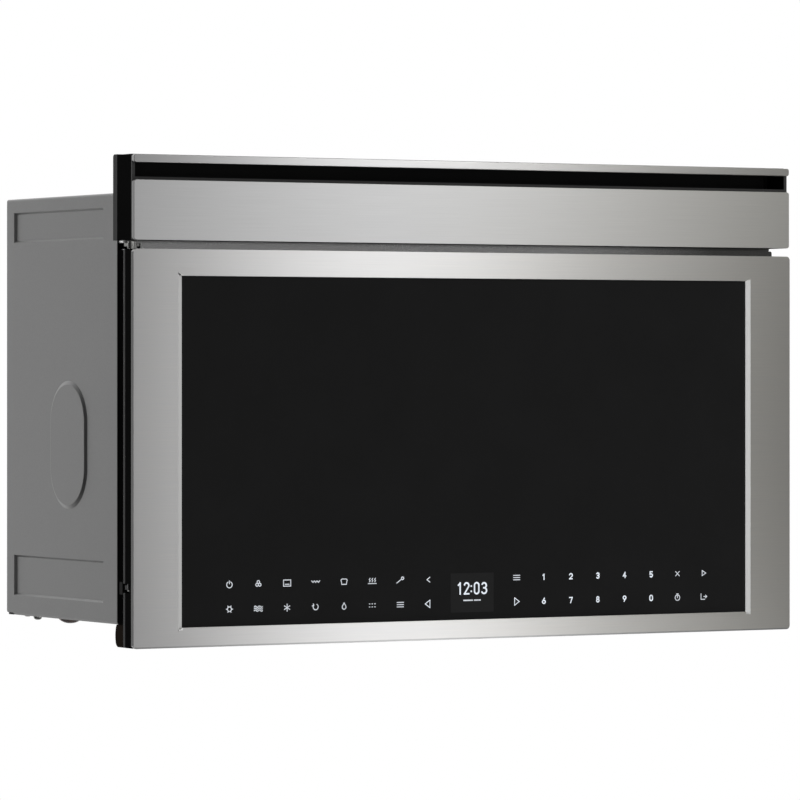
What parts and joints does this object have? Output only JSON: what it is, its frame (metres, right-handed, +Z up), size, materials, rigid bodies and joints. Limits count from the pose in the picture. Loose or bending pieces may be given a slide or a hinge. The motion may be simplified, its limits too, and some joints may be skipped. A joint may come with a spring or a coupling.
{
  "type": "built-in microwave",
  "caption": "Flush, cabinet-hung microwave oven: steel-framed black glass door hinged at the left, vent slot above, turntable, convection fan, broiler and ducted blower inside.",
  "frame": {"origin": "centre of the flat back face, which rests on the wall", "axes": "+X to the right along the width, +Y from the front to the wall, +Z up"},
  "size_m": [0.759, 0.2875, 0.4757],
  "materials": {
    "door_steel": "brushed along the width",
    "casing_paint": "fine grey powder coat",
    "galvanised": "zinc-coated sheet",
    "black_moulding": "fine-grained black",
    "grey_moulding": "dark grey",
    "door_pan": "dark grey enamel",
    "black_glass": "black-backed, polished",
    "clear_glass": "clear",
    "enamel": "grey vitreous enamel",
    "mica": "pressed mica",
    "zinc": "bright zinc plate",
    "bush": "acetal",
    "rubber": "black",
    "filter_mesh": "expanded mesh",
    "charcoal": "granules in a cassette",
    "heater": "oxidised steel tube",
    "motor": "plated steel",
    "fan_steel": "pressed sheet",
    "iron": "varnished laminations",
    "board": "fibreglass board",
    "lamp": "frosted",
    "switch": "moulded"
  },
  "bodies": {
    "casing": {"base_plate": "galvanised", "base_screws": "zinc", "blower_housing": "galvanised", "blower_motor": "motor", "broil_element": "heater", "capacitor": "fan_steel", "cavity_lamp": "lamp", "cavity_shell": "enamel", "charcoal_filter": "charcoal", "convection_heater": "heater", "convection_housing": "galvanised", "convection_motor": "motor", "cooktop_lamps": "clear_glass", "cooling_fan_frame": "galvanised", "cord_gland": "black_moulding", "exhaust_cover": "galvanised", "fascia_carrier": "black_moulding", "fascia_panel": "door_steel", "front_frame": "galvanised", "hinge_brackets": "zinc", "hinge_pins": "zinc", "interlock_switches": "switch", "latch_body": "black_moulding", "magnetron": "motor", "outer_wrapper": "casing_paint", "power_board": "board", "probe_jack": "switch", "rear_panel": "galvanised", "rear_tabs": "rubber", "release_magnet": "iron", "surround_trims": "black_moulding", "top_bar": "door_steel", "transformer": "iron", "turntable_motor": "motor", "upper_front_panel": "galvanised", "vent_duct": "grey_moulding", "waveguide": "galvanised", "waveguide_cover": "mica"},
    "door": {"door_skin": "door_steel", "door_glass": "black_glass", "door_frame": "black_moulding", "door_inner_panel": "door_pan", "choke_cover": "black_moulding", "window_glass": "clear_glass", "touch_board": "board", "hinge_bushes": "bush"},
    "latch_hooks": {"latch_hooks": "zinc"},
    "release_lever": {"release_lever": "zinc"},
    "door_pusher": {"door_pusher": "bush"},
    "tray": {"glass_tray": "clear_glass", "turntable_coupler": "bush"},
    "roller_ring": {"roller_ring": "bush"},
    "roller_1": {"roller_1": "bush"},
    "roller_2": {"roller_2": "bush"},
    "roller_3": {"roller_3": "bush"},
    "blower_wheels": {"blower_wheels": "bush"},
    "cooling_fan": {"cooling_fan": "bush"},
    "convection_fan": {"convection_fan": "fan_steel"},
    "grease_filter_left": {"grease_filter_left": "filter_mesh"},
    "grease_filter_right": {"grease_filter_right": "filter_mesh"}
  },
  "joints": [
    {"name": "door_swing", "type": "hinge", "parent": "casing", "child": "door", "pos_m": [-0.374, -0.2745, 0], "axis": [0, 0, -1], "range_deg": [0, 105]},
    {"name": "hook_slide", "type": "slide", "parent": "door", "child": "latch_hooks", "axis": [0, 0, 1], "range_m": [-0.0046, 0], "stiffness_N_per_m": 60, "springref_m": -0.006},
    {"name": "release_turn", "type": "hinge", "parent": "casing", "child": "release_lever", "pos_m": [0.347, -0.236, 0.046], "axis": [-1, 0, 0], "range_deg": [-16, 0]},
    {"name": "pusher_slide", "type": "slide", "parent": "casing", "child": "door_pusher", "axis": [0, -1, 0], "range_m": [0, 0.008]},
    {"name": "tray_spin", "type": "hinge", "parent": "casing", "child": "tray", "pos_m": [-0.03, -0.14265, -0.12335], "axis": [0, 0, 1], "continuous": true},
    {"name": "ring_spin", "type": "hinge", "parent": "casing", "child": "roller_ring", "pos_m": [-0.03, -0.14265, -0.12335], "axis": [0, 0, 1], "continuous": true},
    {"name": "roller_1_spin", "type": "hinge", "parent": "roller_ring", "child": "roller_1", "pos_m": [-0.03, -0.06415, -0.12335], "axis": [0, 1, 0], "continuous": true},
    {"name": "roller_2_spin", "type": "hinge", "parent": "roller_ring", "child": "roller_2", "pos_m": [-0.09798, -0.1819, -0.12335], "axis": [-0.866, -0.5, 0], "continuous": true},
    {"name": "roller_3_spin", "type": "hinge", "parent": "roller_ring", "child": "roller_3", "pos_m": [0.03798, -0.1819, -0.12335], "axis": [0.866, -0.5, 0], "continuous": true},
    {"name": "blower_spin", "type": "hinge", "parent": "casing", "child": "blower_wheels", "pos_m": [0, -0.08, 0.1565], "axis": [1, 0, 0], "continuous": true},
    {"name": "cooling_fan_spin", "type": "hinge", "parent": "casing", "child": "cooling_fan", "pos_m": [0.304, -0.057, -0.1], "axis": [0, 1, 0], "continuous": true},
    {"name": "convection_fan_spin", "type": "hinge", "parent": "casing", "child": "convection_fan", "pos_m": [-0.32, -0.14265, -0.01], "axis": [1, 0, 0], "continuous": true},
    {"name": "grease_filter_left_drop", "type": "slide", "parent": "casing", "child": "grease_filter_left", "axis": [0, 0, -1], "range_m": [0, 0.03]},
    {"name": "grease_filter_right_drop", "type": "slide", "parent": "casing", "child": "grease_filter_right", "axis": [0, 0, -1], "range_m": [0, 0.03]}
  ],
  "couplings": [
    {"joint": "release_turn", "follows": "hook_slide", "rad_per_m": 60.6},
    {"joint": "pusher_slide", "follows": "door_swing", "m_per_rad": 0.00436},
    {"joint": "ring_spin", "follows": "tray_spin", "ratio": 0.5},
    {"joint": "roller_1_spin", "follows": "tray_spin", "ratio": -6.0385},
    {"joint": "roller_2_spin", "follows": "tray_spin", "ratio": -6.0385},
    {"joint": "roller_3_spin", "follows": "tray_spin", "ratio": -6.0385}
  ]
}
